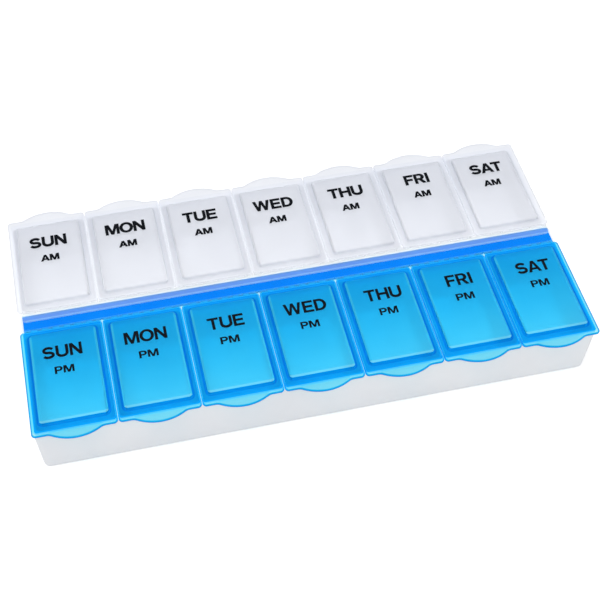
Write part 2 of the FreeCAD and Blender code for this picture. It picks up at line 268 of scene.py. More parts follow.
def moulded_plastic(name, shades, roughness, flow_size, grain, wave, clear=0.0):
    """Moulded plastic: its colour drifts between two shades as it flowed, its gloss and its
    surface vary with a fine spark-eroded grain and with slow waves left by cooling. A clear one
    is tinted more deeply where its mesh's attribute is higher, which holds where it is thicker and
    also painted shade and painted highlights, and it lets the light of the room into the tray."""
    material, tree, surface, place = new_material(name)
    flow = noise(tree, place, flow_size, Detail=3.0, Roughness=0.55, Distortion=0.6)
    tint = shade_ramp(tree, flow, shades, NOISE_SPAN)
    through = tint
    if clear:
        # The mesh's attribute deepens the tint where the plastic is thicker, and also paints shade
        # and highlights onto the lids and strips.
        depth_and_light = add_node(tree, "ShaderNodeAttribute", {"attribute_name": "depth_and_painted_light"}).outputs["Fac"]
        through = add_node(tree, "ShaderNodeGamma", Color=tint, Gamma=PASSING_DEPTH).outputs[0]
        tint = add_node(tree, "ShaderNodeGamma", Color=tint, Gamma=depth_and_light).outputs[0]
    tree.links.new(tint, surface.inputs["Base Color"])
    patches = noise(tree, place, GLOSS_PATCH, Detail=4.0, Roughness=0.6)
    gloss = add_node(
        tree, "ShaderNodeMapRange", Value=patches, From_Min=NOISE_SPAN[0],
        From_Max=NOISE_SPAN[1], To_Min=roughness[0], To_Max=roughness[1],
    ).outputs["Result"]
    tree.links.new(gloss, surface.inputs["Roughness"])
    fine = noise(tree, place, MOULD_GRAIN, Detail=2.0, Roughness=0.5)
    slow = noise(tree, place, COOLING_WAVE, Detail=1.0, Roughness=0.4)
    waves = add_node(tree, "ShaderNodeBump", Strength=1.0, Distance=wave * MM, Height=slow)
    relief = add_node(
        tree, "ShaderNodeBump", Strength=1.0, Distance=grain * MM, Height=fine,
        Normal=waves.outputs["Normal"],
    )
    tree.links.new(relief.outputs["Normal"], surface.inputs["Normal"])
    surface.inputs["IOR"].default_value = CLEAR_IOR if clear else PLASTIC_IOR
    surface.inputs["Transmission Weight"].default_value = clear
    if clear:
        rays = add_node(tree, "ShaderNodeLightPath").outputs
        pane = add_node(tree, "ShaderNodeBsdfTransparent", Color=through).outputs[0]
        shown = surface.outputs[0]
        for kind in ("Is Diffuse Ray", "Is Shadow Ray"):
            shown = add_node(
                tree, "ShaderNodeMixShader", _0=rays[kind], _1=shown, _2=pane
            ).outputs[0]
        tree.links.new(shown, tree.nodes["Material Output"].inputs["Surface"])
    return material


def printing_ink(name, shades, roughness):
    """Pad-printed ink: near black, a little patchy where the film is thin."""
    material, tree, surface, place = new_material(name)
    patches = noise(tree, place, INK_PATCH, Detail=3.0, Roughness=0.6)
    tint = shade_ramp(tree, patches, shades, INK_SPAN)
    tree.links.new(tint, surface.inputs["Base Color"])
    gloss = add_node(
        tree, "ShaderNodeMapRange", Value=patches, To_Min=roughness[0], To_Max=roughness[1]
    ).outputs["Result"]
    tree.links.new(gloss, surface.inputs["Roughness"])
    surface.inputs["Specular IOR Level"].default_value = INK_SHINE
    return material


TRAY_WHITE = moulded_plastic(
    "white tray plastic", ((0.80, 0.81, 0.84), (0.86, 0.865, 0.885)), (0.42, 0.54),
    flow_size=40, grain=0.012, wave=0.03,
)
LID_BLUE = moulded_plastic(
    "blue lid plastic", ((0.10, 0.705, 0.955), (0.12, 0.735, 0.965)), (0.29, 0.35),
    flow_size=22, grain=0.0008, wave=0.03, clear=0.85,
)
LID_FROSTED = moulded_plastic(
    "frosted lid plastic", ((0.89, 0.9, 0.925), (0.905, 0.915, 0.94)), (0.34, 0.44),
    flow_size=22, grain=0.002, wave=0.03, clear=0.75,
)
STRIP_BLUE = moulded_plastic(
    "blue strip plastic", ((0.012, 0.42, 0.93), (0.02, 0.455, 0.94)), (0.16, 0.24),
    flow_size=30, grain=0.001, wave=0.02, clear=0.9,
)
STRIP_FROSTED = moulded_plastic(
    "frosted strip plastic", ((0.885, 0.935, 0.92), (0.90, 0.95, 0.935)), (0.29, 0.36),
    flow_size=30, grain=0.002, wave=0.02, clear=0.94,
)
# The lip's front edge in a paler plastic: a painted highlight along it.
LIP_EDGE_HIGHLIGHT = moulded_plastic(
    "frosted lip edge highlight", ((0.62, 0.88, 0.94), (0.66, 0.9, 0.95)), (0.3, 0.4),
    flow_size=30, grain=0.002, wave=0.02, clear=0.6,
)
RIB_BLUE = moulded_plastic(
    "blue rib plastic", ((0.012, 0.37, 0.86), (0.02, 0.40, 0.88)), (0.3, 0.4),
    flow_size=30, grain=0.004, wave=0.02,
)
PRINT_BLACK = printing_ink(
    "black print", ((0.003, 0.004, 0.006), (0.010, 0.011, 0.015)), (0.4, 0.6)
)
# What the lids of each row and their hinges are made of, and the slot that it stands for.
ROW_PLASTIC = {"pm": (LID_BLUE, "blue_plastic"), "am": (LID_FROSTED, "clear_plastic")}


# ---------------- tray
# The walls, one compartment and one channel are skinned in millimetres. The tree below repeats
# the compartments and channels along the days and closes the rim and the underside round them.

TRAY_HALF = (108.65, 51.95)
TRAY_CORNER = 2.5
WALL_LEAN = math.tan(math.radians(2.4))
RIM_ROUND = 0.35
FOOT_ROUND = 1.3
TRAY_FLOOR = 1.5
POCKET_LEAN = math.tan(math.radians(1.0))
POCKET_HALF = (HALF_PITCH - DIVIDER / 2, 22.15)
POCKET_MIDDLE = 28.3
POCKET_CORNER = 1.8
TROUGH_ROUND = 4.0
TROUGH_STEP = 9
END_ROUND = 1.1
END_COLUMN_HALF = 14.45
CHANNEL_HALF = (POCKET_HALF[0], 4.65)
CHANNEL_TOP = 20.8
CHANNEL_CORNER = 0.9
MOUTH_ROUND = 0.3
CROWN_ROUND = 0.5
GROOVE_HALF = (103.45, 0.5)
GROOVE_MIDDLE = 3.525
GROOVE_FLOOR = 22.3
GROOVE_CORNER = 0.1
LEAST_CORNER = 0.05


def sunk_ring(half, inset, height, corner, middle=0.0):
    """A ring round a hole or block with its middle at (0, middle). inset is one number, or one
    for X and one for Y."""
    across, along = inset if isinstance(inset, tuple) else (inset, inset)
    x, y = half[0] - across, half[1] - along
    return [
        (a, b, height)
        for a, b in rounded_outline(-x, x, middle - y, middle + y, max(corner, LEAST_CORNER))
    ]


def tray_walls():
    """The outer wall from the inner edge of the rim's round to the inner edge of the foot's."""
    lean = WALL_LEAN * (RIM - FOOT_ROUND)
    profile = arc((RIM_ROUND, RIM - RIM_ROUND), RIM_ROUND, 90, 180)
    profile += arc((lean + FOOT_ROUND, FOOT_ROUND), FOOT_ROUND, 180, 270, steps=7)
    rings = []
    for inset, height in profile:
        upright = WALL_LEAN * max(0.0, RIM - height) if height < RIM / 2 else 0.0
        rings.append(sunk_ring(TRAY_HALF, inset, height, TRAY_CORNER - max(0.0, inset - upright)))
    return skin(rings, first_cap=False, last_cap=False)


def compartment():
    """One compartment: long sides that curve into the floor, so that a pill slides out."""
    mouth = arc((-RIM_ROUND, RIM - RIM_ROUND), RIM_ROUND, 90, 0)
    rings = [sunk_ring(POCKET_HALF, s, z, POCKET_CORNER - s) for s, z in mouth]
    trough_top = TRAY_FLOOR + TROUGH_ROUND
    lean = POCKET_LEAN * (RIM - trough_top)
    for turn in map(math.radians, range(0, 91, TROUGH_STEP)):
        height = TROUGH_ROUND * (1 - math.sin(turn))
        across = lean + TROUGH_ROUND * (1 - math.cos(turn))
        low = max(0.0, END_ROUND - height)
        along = END_ROUND - math.sqrt(END_ROUND**2 - low**2)
        rings.append(sunk_ring(POCKET_HALF, (across, along), TRAY_FLOOR + height, POCKET_CORNER))
    return skin(rings[::-1], last_cap=False)


def channel():
    """One length of the channel under the middle deck, between two cross walls."""
    lean = POCKET_LEAN * CHANNEL_TOP
    mouth = arc((-MOUTH_ROUND, MOUTH_ROUND), MOUTH_ROUND, -90, 0)
    crown = arc((lean + CROWN_ROUND, CHANNEL_TOP - CROWN_ROUND), CROWN_ROUND, 180, 90)
    rings = [sunk_ring(CHANNEL_HALF, s, z, CHANNEL_CORNER - s) for s, z in mouth]
    rings += [sunk_ring(CHANNEL_HALF, (s, s - lean), z, CHANNEL_CORNER) for s, z in crown]
    return skin(rings, first_cap=False)


def add_grooves(walls):
    """The two slots of the deck that hold the hinge strips' ribs."""
    for side in (-1, 1):
        rings = [
            sunk_ring(GROOVE_HALF, 0.0, z, GROOVE_CORNER, side * GROOVE_MIDDLE)
            for z in (GROOVE_FLOOR, RIM)
        ]
        join_mesh(walls, as_mesh(skin(rings, last_cap=False), "groove", outwards=False))


def tray_tree():
    """Repeats the compartments and channels along the days, and closes the two flat faces."""
    tree, given, result = new_tree(
        "tray compartments", Compartment="Object", Channel="Object", Days="Int", Pitch="Float",
        Row_Spacing="Float", End_Scale="Float", End_Shift="Float", Rim="Float",
        Material="Material",
    )

    def combine(x, y=0.0, z=0.0):
        return add_node(tree, "ShaderNodeCombineXYZ", X=x, Y=y, Z=z).outputs[0]

    def compute(operation, *numbers):
        slots = {f"_{k}": number for k, number in enumerate(numbers)}
        return add_node(tree, "ShaderNodeMath", {"operation": operation}, **slots).outputs[0]

    def at_each_day(shape, rows, spacing):
        """The shape at each day, narrower and shifted inwards at the two end days."""
        gaps = compute("SUBTRACT", given["Days"], 1)
        length = compute("MULTIPLY", gaps, given["Pitch"])
        grid = add_node(
            tree, "GeometryNodeMeshGrid", Size_X=length, Size_Y=spacing,
            Vertices_X=given["Days"], Vertices_Y=rows,
        ).outputs["Mesh"]
        position = add_node(tree, "GeometryNodeInputPosition").outputs[0]
        across = add_node(tree, "ShaderNodeSeparateXYZ", Vector=position).outputs["X"]
        reach = compute("SUBTRACT", compute("DIVIDE", length, 2), given["Pitch"])
        at_end = compute("GREATER_THAN", compute("ABSOLUTE", across), compute("ADD", reach, MM))
        inwards = compute("MULTIPLY", compute("SIGN", across), given["End Shift"])
        shift = compute("MULTIPLY", compute("MULTIPLY", inwards, -1), at_end)
        places = add_node(
            tree, "GeometryNodeSetPosition", Geometry=grid, Offset=combine(shift)
        ).outputs[0]
        narrower = compute("SUBTRACT", given["End Scale"], 1)
        width = compute("ADD", compute("MULTIPLY", narrower, at_end), 1)
        one = add_node(tree, "GeometryNodeObjectInfo", Object=shape).outputs["Geometry"]
        placed = add_node(
            tree, "GeometryNodeInstanceOnPoints", Points=places, Instance=one,
            Scale=combine(width, 1.0, 1.0),
        ).outputs[0]
        return add_node(tree, "GeometryNodeRealizeInstances", Geometry=placed).outputs[0]

    open_shell = add_node(tree, "GeometryNodeJoinGeometry")
    for part in (
        given["Geometry"],
        at_each_day(given["Compartment"], 2, given["Row Spacing"]),
        at_each_day(given["Channel"], 1, 0.0),
    ):
        tree.links.new(part, open_shell.inputs[0])
    open_shell = open_shell.outputs[0]
    closed = add_node(tree, "GeometryNodeJoinGeometry")
    tree.links.new(open_shell, closed.inputs[0])
    neighbours = add_node(tree, "GeometryNodeInputMeshEdgeNeighbors").outputs[0]
    on_border = compute("LESS_THAN", neighbours, 2)
    position = add_node(tree, "GeometryNodeInputPosition").outputs[0]
    height = add_node(tree, "ShaderNodeSeparateXYZ", Vector=position).outputs["Z"]
    middle = compute("DIVIDE", given["Rim"], 2)
    for comparison, level in (("GREATER_THAN", given["Rim"]), ("LESS_THAN", 0.0)):
        chosen = compute("MULTIPLY", on_border, compute(comparison, height, middle))
        border = add_node(tree, "GeometryNodeMeshToCurve", Mesh=open_shell, Selection=chosen)
        face = add_node(
            tree, "GeometryNodeFillCurve", {"mode": "NGONS"}, Curve=border.outputs[0]
        ).outputs[0]
        lifted = add_node(
            tree, "GeometryNodeTransform", Geometry=face, Translation=combine(0.0, 0.0, level)
        ).outputs[0]
        tree.links.new(lifted, closed.inputs[0])
    welded = add_node(
        tree, "GeometryNodeMergeByDistance", Geometry=closed.outputs[0], Distance=WELD * MM
    ).outputs[0]
    painted = add_node(
        tree, "GeometryNodeSetMaterial", Geometry=welded, Material=given["Material"]
    ).outputs[0]
    tree.links.new(painted, result[0])
    return tree


def make_tray():
    """The tray, as one closed shell with the grooves, compartments and channels in it."""
    walls = tray_walls()
    add_grooves(walls)
    tray = as_object(as_mesh(walls, "tray", outwards=False), "tray")
    moulds = [
        as_object(as_mesh(shell, name, outwards=False), name)
        for shell, name in ((compartment(), "compartment"), (channel(), "channel"))
    ]
    grow(
        tray, tray_tree(), Compartment=moulds[0], Channel=moulds[1], Days=len(DAYS),
        Pitch=PITCH * MM, Row_Spacing=2 * POCKET_MIDDLE * MM,
        End_Scale=END_COLUMN_HALF / POCKET_HALF[0],
        End_Shift=(POCKET_HALF[0] - END_COLUMN_HALF) * MM, Rim=RIM * MM, Material=TRAY_WHITE,
    )
    for mould in moulds:
        bpy.data.objects.remove(mould)
    shell = bmesh.new()
    shell.from_mesh(tray.data)
    tray.data = as_mesh(shell, "tray")
    flatten_shading(tray)
    finish_piece(tray, "tray", TRAY_WHITE, ["base_tray"])


# ---------------- lids
# A lid is drawn with its hinge edge on Y = 0, its outer edge towards -Y and the underside of its
# flange on Z = 0. The morning row is the same lid turned half round. Insets are measured inwards
# from the edge that they name, so one below 0 lies outside it.

LID_DEPTH = 48.3
PANEL_HALF = 12.775
PANEL_FRONT, PANEL_BACK = -43.8, -2.7
PANEL_CORNER, LEAST_PANEL_CORNER = 1.4, 0.15
PANEL_TOP = 2.25
PANEL_ROUND = 0.75
PANEL_LEAN = 0.05
# The first rings of the panel's rounded edge are its bevel, the rest belong to its root.
BEVEL_RINGS = 4
ROOT_ROUND = 0.28
EDGE_ROUND = 0.3
SEAT_ROUND = 0.2
RING_DEPTH = 1.6
RING_WALL = 0.9
TIP_ROUND = 0.25
HOLLOW_TOP = 1.25
HOLLOW_ROUND = 0.35
HOLLOW_LEAN = 0.05
# The closing bead: how far it stands out, its half length, its upper side, how far its ends and
# sides fade out, and the heights of the rings that draw it.
BEAD_RISE, BEAD_HALF, BEAD_TOP = 0.4, 6.0, -0.62
BEAD_END_FADE, BEAD_SIDE_FADE = 0.8, 0.3
BEAD_HEIGHTS = (-0.45, -0.62, -0.72, -0.82, -0.92, -1.05, -1.2)
TAB_HALF, TAB_REACH, TAB_BLEND = 9.75, 3.0, 3.5
# Steps along a lid's front, its ends and its back.
LID_STEPS = (54, 6, 10)
# A lid's edge reaches this far into the slit beside it, so that the slit is a fine line.
SLIT_FILL = 0.1

# Lines on the lid at which the painted light and shade change, drawn as changes in how deeply the
# plastic is tinted: on the panel inside its bevel, round the panel's foot above and below, and
# along the flange's edge. Those along the edge are set in from the outer edge, from an end that
# hangs over the tray's end, and from slits and the hinge.
PANEL_LINE = 0.4
FOOT_LINES, FOOT_LINE_BELOW = (0.5, 0.95), 0.75
OUTER_LINES, END_LINES, SLIT_LINE = (1.6, 1.35, 1.15), (1.3, 1.1, 0.95), 0.35
LINE_CORNER = 1.0
EDGE_LINE = 0.6
# How near an edge a point counts as part of it: of the panel's bevel, the flange's outer edge, its
# ends, and the tab.
BEVEL_ZONE, OUTER_ZONE, END_ZONE, TAB_ZONE = 1.1, 1.0, 0.6, 2.0
# How deeply the plastic is tinted, most of it painted light and shade: in the panel, at its outer
# and at its hinge end, paler at the outer end as painted light and deeper at the hinge end as
# painted shade; on the panel's bevel, at the outer side, a painted highlight, the ends, and the
# hinge side, a painted shade; where the flange lies over the rim, a painted shade; at the panel's
# foot, the step seen through more plastic and a painted shade; in the plug ring; in the tab,
# paler, standing in for a thinner tab and for painted light through the overhang; at the outer
# edge, plastic seen edge-on and a painted shade; at the slits, a painted shade between the lids;
# and inside those edges, a painted highlight line.
PANEL_PAINTED_LIGHT = (0.75, 1.75)
BEVEL_PAINTED_LIGHT = (0.25, 1.0, 1.75)
FLANGE_PAINTED_SHADE, ROOT_DEPTH_AND_SHADE, RING_STOCK = 2.3, 4.8, 0.2
TAB_THINNESS_AND_LIGHT, EDGE_DEPTH_AND_SHADE, SLIT_PAINTED_SHADE = 0.6, 4.8, 2.8
PAINTED_HIGHLIGHT_LINE = 0.3
# The share of the edge's painted shade that its rounding has where it begins.
EDGE_SHARE = 0.4
# In the frosted lids the painted light and shade vary less from place to place, and a painted
# shade grows towards the outer end.
FROSTED_SHARE, FROSTED_OUTER_SHADE = 0.25, 0.7


def tab_bulge(x, inset):
    """How far the outer edge stands out at x because of the thumb tab: one shallow arc that a
    hollow blend joins to the straight edge on each side."""
    radius = (TAB_HALF**2 + TAB_REACH**2) / (2 * TAB_REACH)
    drop = radius - TAB_REACH
    blend_x = math.sqrt((radius + TAB_BLEND) ** 2 - (drop + TAB_BLEND) ** 2)
    meet_x = blend_x * (radius - inset) / (radius + TAB_BLEND)
    x = abs(x)
    if x >= blend_x:
        return 0.0
    if x >= meet_x:
        return inset + TAB_BLEND - math.sqrt((TAB_BLEND + inset) ** 2 - (x - blend_x) ** 2)
    return inset + math.sqrt((radius - inset) ** 2 - x**2) - drop


def ease(share):
    """A share of a change, from 0 to 1, that starts and ends gently."""
    share = min(1.0, max(0.0, share))
    return share * share * (3 - 2 * share)


def bead_bulge(x, z):
    """How far the closing bead stands out from the plug ring's outer side."""
    along = ease((BEAD_HALF - abs(x)) / BEAD_END_FADE)
    up = ease((z + RING_DEPTH) / BEAD_SIDE_FADE) * ease((BEAD_TOP - z) / BEAD_SIDE_FADE)
    return BEAD_RISE * along * up


def pushed_out(outline, edge, bulge, z):
    """The outline as a ring at height z, with the points of its outer edge moved out by bulge."""
    touching = edge + WELD
    return [(x, y - bulge(x) if y < touching else y, z) for x, y in outline]


def flange_ring(reach, inset, z):
    """A ring round the flange, tab included. reach is where the lid's two ends are along X."""
    left, right = reach
    edge = inset - LID_DEPTH
    outline = rounded_outline(
        left + inset, right - inset, edge, -inset, FLANGE_CORNER - inset, LID_STEPS
    )
    return pushed_out(outline, edge, lambda x: tab_bulge(x, inset), z)


def edge_line(reach, number, z):
    """A ring on the flange, set in from the edges that hang over the tray's outside."""
    left, right = (
        side - math.copysign(END_LINES[number] if abs(side) > HALF_PITCH else SLIT_LINE, side)
        for side in reach
    )
    front = OUTER_LINES[number] - LID_DEPTH
    outline = rounded_outline(left, right, front, -SLIT_LINE, LINE_CORNER, LID_STEPS)
    return [(x, y, z) for x, y in outline]


def panel_outline(inset):
    """The outline of the raised panel, and of the plug ring and the hollow below it."""
    half = PANEL_HALF - inset
    corner = max(LEAST_PANEL_CORNER, PANEL_CORNER - inset)
    return rounded_outline(
        -half, half, PANEL_FRONT + inset, PANEL_BACK - inset, corner, LID_STEPS
    )


def panel_ring(inset, z):
    return [(x, y, z) for x, y in panel_outline(inset)]


def beaded_ring(inset, z):
    """A ring round the outside of the plug ring, closing bead included."""
    return pushed_out(panel_outline(inset), PANEL_FRONT + inset, lambda x: bead_bulge(x, z), z)


def panel_light_and_shade(ring):
    """Painted light and shade on the panel's flat part: it is paler at the outer end, standing in
    for light let in through the tray's walls, and deeper towards the hinge end.
    """
    outer, inner = PANEL_PAINTED_LIGHT
    length = PANEL_BACK - PANEL_FRONT
    return [outer + (inner - outer) * (y - PANEL_FRONT) / length for x, y, z in ring]


def bevel_light_and_shade(ring):
    """The panel's bevel is palest along the panel's outer side, a painted highlight, and deepest
    on the hinge side, a painted shade.
    """
    outer, ends, hinge = BEVEL_PAINTED_LIGHT
    front, back = PANEL_FRONT + BEVEL_ZONE, PANEL_BACK - BEVEL_ZONE
    return [outer if y < front else hinge if y > back else ends for x, y, z in ring]


def highlight_line_tints(ring):
    """A painted highlight runs as a pale line inside the edge's line of painted shade, but not
    across the tab, which keeps the tab's paler tint.
    """
    return [
        TAB_THINNESS_AND_LIGHT if y < TAB_ZONE - LID_DEPTH and abs(x) < TAB_HALF else PAINTED_HIGHLIGHT_LINE
        for x, y, z in ring
    ]


def edge_tints_and_shade(ring, reach, share):
    """The edge is deeply tinted where it hangs over the tray's outside, for plastic seen edge-on
    and for painted shade, and less so at slits and hinge, where it is painted shade between the
    parts.
    share says how much of that tint this ring has."""
    left, right = reach
    depths_and_light = []
    for x, y, z in ring:
        at_left = left < -HALF_PITCH and x < left + END_ZONE
        at_right = right > HALF_PITCH and x > right - END_ZONE
        free = y < OUTER_ZONE - LID_DEPTH or at_left or at_right
        depths_and_light.append(TAB_THINNESS_AND_LIGHT + ((EDGE_DEPTH_AND_SHADE if free else SLIT_PAINTED_SHADE) - TAB_THINNESS_AND_LIGHT) * share)
    return depths_and_light


def evenly(rings, start, end=None):
    """Pairs each ring with one tint value all round, painted light and shade included, which runs
    from start to end over the rings.
    """
    rise = (start if end is None else end) - start
    steps = max(1, len(rings) - 1)
    return [(ring, [start + rise * k / steps] * len(ring)) for k, ring in enumerate(rings)]


def plate_rings(reach, z):
    """The flange's flat side from the rim's line to its rounded edge: a painted shade over the
    rim, and a painted highlight line inside the edge.
    """
    highlight_rings = [edge_line(reach, 2, z), flange_ring(reach, EDGE_LINE, z)]
    return [
        *evenly([edge_line(reach, 0, z)], FLANGE_PAINTED_SHADE),
        *evenly([edge_line(reach, 1, z)], PAINTED_HIGHLIGHT_LINE),
        *((ring, highlight_line_tints(ring)) for ring in highlight_rings),
    ]


def edge_rings(reach):
    """The flange's rounded edge from above, with its line of painted shade where it stands
    upright.
    """
    upper = arc((EDGE_ROUND, LID_PLATE - EDGE_ROUND), EDGE_ROUND, 90, 180)
    lower = arc((EDGE_ROUND, EDGE_ROUND), EDGE_ROUND, 180, 270)
    last = len(upper) - 1
    shares = [EDGE_SHARE + (1 - EDGE_SHARE) * k / last for k in range(len(upper))]
    rings = []
    for (inset, z), share in zip(upper + lower, shares + shares[::-1]):
        ring = flange_ring(reach, inset, z)
        rings.append((ring, edge_tints_and_shade(ring, reach, share)))
    return rings


def lid_rings(reach):
    """The rings of a lid's skin with how deeply each point is tinted, painted light and shade
    included: from the middle of its panel, out round the flange's edge and back in below, round
    the plug ring and up into the hollow."""
    top = arc((PANEL_LEAN + PANEL_ROUND, PANEL_TOP - PANEL_ROUND), PANEL_ROUND, 90, 180)
    root = arc((-ROOT_ROUND, LID_PLATE + ROOT_ROUND), ROOT_ROUND, 0, -90)
    seat = arc((-SEAT_ROUND, -SEAT_ROUND), SEAT_ROUND, 90, 0, steps=3)
    outer_tip = arc((TIP_ROUND, TIP_ROUND - RING_DEPTH), TIP_ROUND, 180, 270)
    inner_tip = arc((RING_WALL - TIP_ROUND, TIP_ROUND - RING_DEPTH), TIP_ROUND, 270, 360)
    ceiling = (RING_WALL + HOLLOW_LEAN + HOLLOW_ROUND, HOLLOW_TOP - HOLLOW_ROUND)
    hollow = [panel_ring(s, z) for s, z in arc(ceiling, HOLLOW_ROUND, 180, 90)]
    middle = panel_ring(PANEL_ROUND + PANEL_LEAN + PANEL_LINE, PANEL_TOP)
    bevel = [panel_ring(s, z) for s, z in top[:BEVEL_RINGS]]
    foot = [panel_ring(-s, LID_PLATE) for s in FOOT_LINES]
    return [
        (middle, panel_light_and_shade(middle)),
        *((ring, bevel_light_and_shade(ring)) for ring in bevel),
        *evenly([panel_ring(s, z) for s, z in top[BEVEL_RINGS:] + root], ROOT_DEPTH_AND_SHADE),
        *evenly(foot, ROOT_DEPTH_AND_SHADE, FLANGE_PAINTED_SHADE),
        *plate_rings(reach, LID_PLATE),
        *edge_rings(reach),
        *plate_rings(reach, 0.0)[::-1],
        *evenly([panel_ring(-FOOT_LINE_BELOW, 0.0)], FLANGE_PAINTED_SHADE),
        *evenly([beaded_ring(s, z) for s, z in seat], FLANGE_PAINTED_SHADE),
        *evenly([beaded_ring(0.0, z) for z in BEAD_HEIGHTS], RING_STOCK),
        *evenly([beaded_ring(s, z) for s, z in outer_tip], RING_STOCK),
        *evenly([panel_ring(s, z) for s, z in inner_tip], RING_STOCK),
        *evenly(hollow[:-1], RING_STOCK, PANEL_PAINTED_LIGHT[0]),
        (hollow[-1], panel_light_and_shade(hollow[-1])),
    ]


def frosted_tints_and_shade(ring, depths_and_light):
    """How deeply a ring of a blue lid is tinted, as it is in a frosted one: the painted light and
    shade are weaker, and a painted shade grows towards the outer end.
    """
    return [
        1 + FROSTED_SHARE * (depth_and_light - 1) - FROSTED_OUTER_SHADE * y / LID_DEPTH
        for (x, y, z), depth_and_light in zip(ring, depths_and_light)
    ]


def make_lid(day, row):
    """One lid, drawn to the ends that its solid has and put in its place."""
    side = ROW_SIDE[row]
    plastic, slot = ROW_PLASTIC[row]
    node = f"{day}_{row}_lid"
    centre = day_centre(day)
    low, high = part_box(node)
    ends = sorted(-side * (x / MM - centre) for x in (low.x, high.x))
    reach = [x + math.copysign(SLIT_FILL if abs(x) < HALF_PITCH else 0.0, x) for x in ends]
    rings, depth_and_painted_light = zip(*lid_rings(reach))
    if row == "am":
        depth_and_painted_light = [frosted_tints_and_shade(ring, depths_and_light) for ring, depths_and_light in zip(rings, depth_and_painted_light)]
    shell = skin(rings, depth_and_painted_light=depth_and_painted_light)
    turned = Matrix.Rotation(math.pi if row == "am" else 0.0, 4, "Z")
    put = Matrix.Translation(Vector((centre, side * HINGE_EDGE, FLANGE_UNDER)) * MM)
    bmesh.ops.transform(shell, matrix=put @ turned, verts=shell.verts[:])
    name = f"{day}_{row}_flip_lid"
    lid = as_object(as_mesh(shell, name), name)
    flatten_shading(lid)
    finish_piece(lid, f"{day}_{row}_flap", plastic, [node])


# ---------------- hinge films

FILM_BOTTOM, FILM_TOP = 24.7, 25.0
FILM_OVERLAP = 0.06
FILM_NEAR, FILM_FAR = STRIP_EDGE - FILM_OVERLAP, HINGE_EDGE + FILM_OVERLAP
FILM_WAIST = 0.05
FILM_STEPS = 14
TONGUE_HALF, TONGUE_FLARE, TONGUE_CORNER = 1.2, 0.25, 0.08
TONGUE_SPACING = 4.2
TONGUES = 6
# The thin web between the tongues: its underside and its top, how far it runs beside a tongue's
# middle and beside the middle of a lid, and how deep its plastic is.
WEB_BOTTOM, WEB_TOP = 24.88, 24.98
WEB_HALF, WEB_REACH, WEB_STOCK = 2.09, 15.35, 0.7


def add_web(film, side, start, end):
    """Adds a stretch of the thin web that closes the film between and beside its tongues."""
    outline = ((start, WEB_BOTTOM), (end, WEB_BOTTOM), (end, WEB_TOP), (start, WEB_TOP))
    places = (FILM_NEAR, (FILM_NEAR + FILM_FAR) / 2, FILM_FAR)
    rings = [[(x, side * y, z) for x, z in outline] for y in places]
    web = skin(rings, depth_and_painted_light=[[WEB_STOCK] * len(ring) for ring in rings])
    join_mesh(film, as_mesh(web, "web"))


def tongue(side):
    """One tongue of the hinge film with half of the thin web on each side of it, and thinner
    along its middle, where it folds. It reaches a hair into the strip and into the lid."""
    rings = []
    for step in range(FILM_STEPS + 1):
        share = step / FILM_STEPS
        waist = FILM_WAIST * math.sin(math.pi * share)
        half = TONGUE_HALF + TONGUE_FLARE * (2 * share - 1) ** 4
        low, high = FILM_BOTTOM + waist, FILM_TOP - waist
        y = side * (FILM_NEAR + (FILM_FAR - FILM_NEAR) * share)
        outline = rounded_outline(-half, half, low, high, TONGUE_CORNER)
        rings.append([(x, y, z) for x, z in outline])
    film = skin(rings)
    add_web(film, side, -WEB_HALF, -TONGUE_HALF)
    add_web(film, side, TONGUE_HALF, WEB_HALF)
    return film


def film_tree():
    """Repeats the tongue along the hinge line."""
    tree, given, result = new_tree(
        "hinge film tongues", Tongues="Int", Spacing="Float", First="Vector", Material="Material"
    )
    step = add_node(tree, "ShaderNodeCombineXYZ", X=given["Spacing"]).outputs[0]
    line = add_node(
        tree, "GeometryNodeMeshLine", Count=given["Tongues"], Start_Location=given["First"],
        Offset=step,
    ).outputs[0]
    placed = add_node(
        tree, "GeometryNodeInstanceOnPoints", Points=line, Instance=given["Geometry"]
    ).outputs[0]
    real = add_node(tree, "GeometryNodeRealizeInstances", Geometry=placed).outputs[0]
    painted = add_node(
        tree, "GeometryNodeSetMaterial", Geometry=real, Material=given["Material"]
    ).outputs[0]
    tree.links.new(painted, result[0])
    return tree


def make_film(day, row, tree):
    """One lid's hinge: its tongues and the web, which reach from the strip on the tray to the lid.
    """
    side = ROW_SIDE[row]
    plastic, slot = ROW_PLASTIC[row]
    centre = day_centre(day)
    name = f"{day}_{row}_hinge_film"
    film = as_object(as_mesh(tongue(side), name), name)
    first = centre - (TONGUES - 1) / 2 * TONGUE_SPACING
    grow(
        film, tree, Tongues=TONGUES, Spacing=TONGUE_SPACING * MM,
        First=(first * MM, 0.0, 0.0), Material=plastic,
    )
    whole = bmesh.new()
    whole.from_mesh(film.data)
    left, right = max(centre - WEB_REACH, -STRIP_HALF), min(centre + WEB_REACH, STRIP_HALF)
    add_web(whole, side, left, first - WEB_HALF)
    add_web(whole, side, 2 * centre - first + WEB_HALF, right)
    whole.faces.ensure_lookup_table()
    painted = whole.faces[0].material_index
    for face in whole.faces:
        face.material_index = painted
    whole.to_mesh(film.data)
    whole.free()
    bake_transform(film)
    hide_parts(f"{day}_{row}_hinge")


# ---------------- hinge strips

STRIP_SEAT = RIM + 0.02
# How far the edges of the two strips are rounded, and at which bends.
EVENING_EASING, MORNING_EASING = 0.16, 0.18
EASED_ANGLE, EASING_STEPS = math.radians(25), 4
RIB_WALL = 0.8
RIB_BOTTOM, RIB_TOP = 22.4, RIM + 0.3
RIB_HALF = 103.35
# The evening strip ends here, and the morning strip's lip comes back over it.
EVENING_REAR = 2.8
STRIP_FIT = 0.1
LIP_OVERLAP, LIP_RISE, LIP_SHOULDER, LIP_GAP = 3.3, 1.0, 0.75, 0.05
LIP_CORNER, LIP_CORNER_STEPS = 1.3, 8
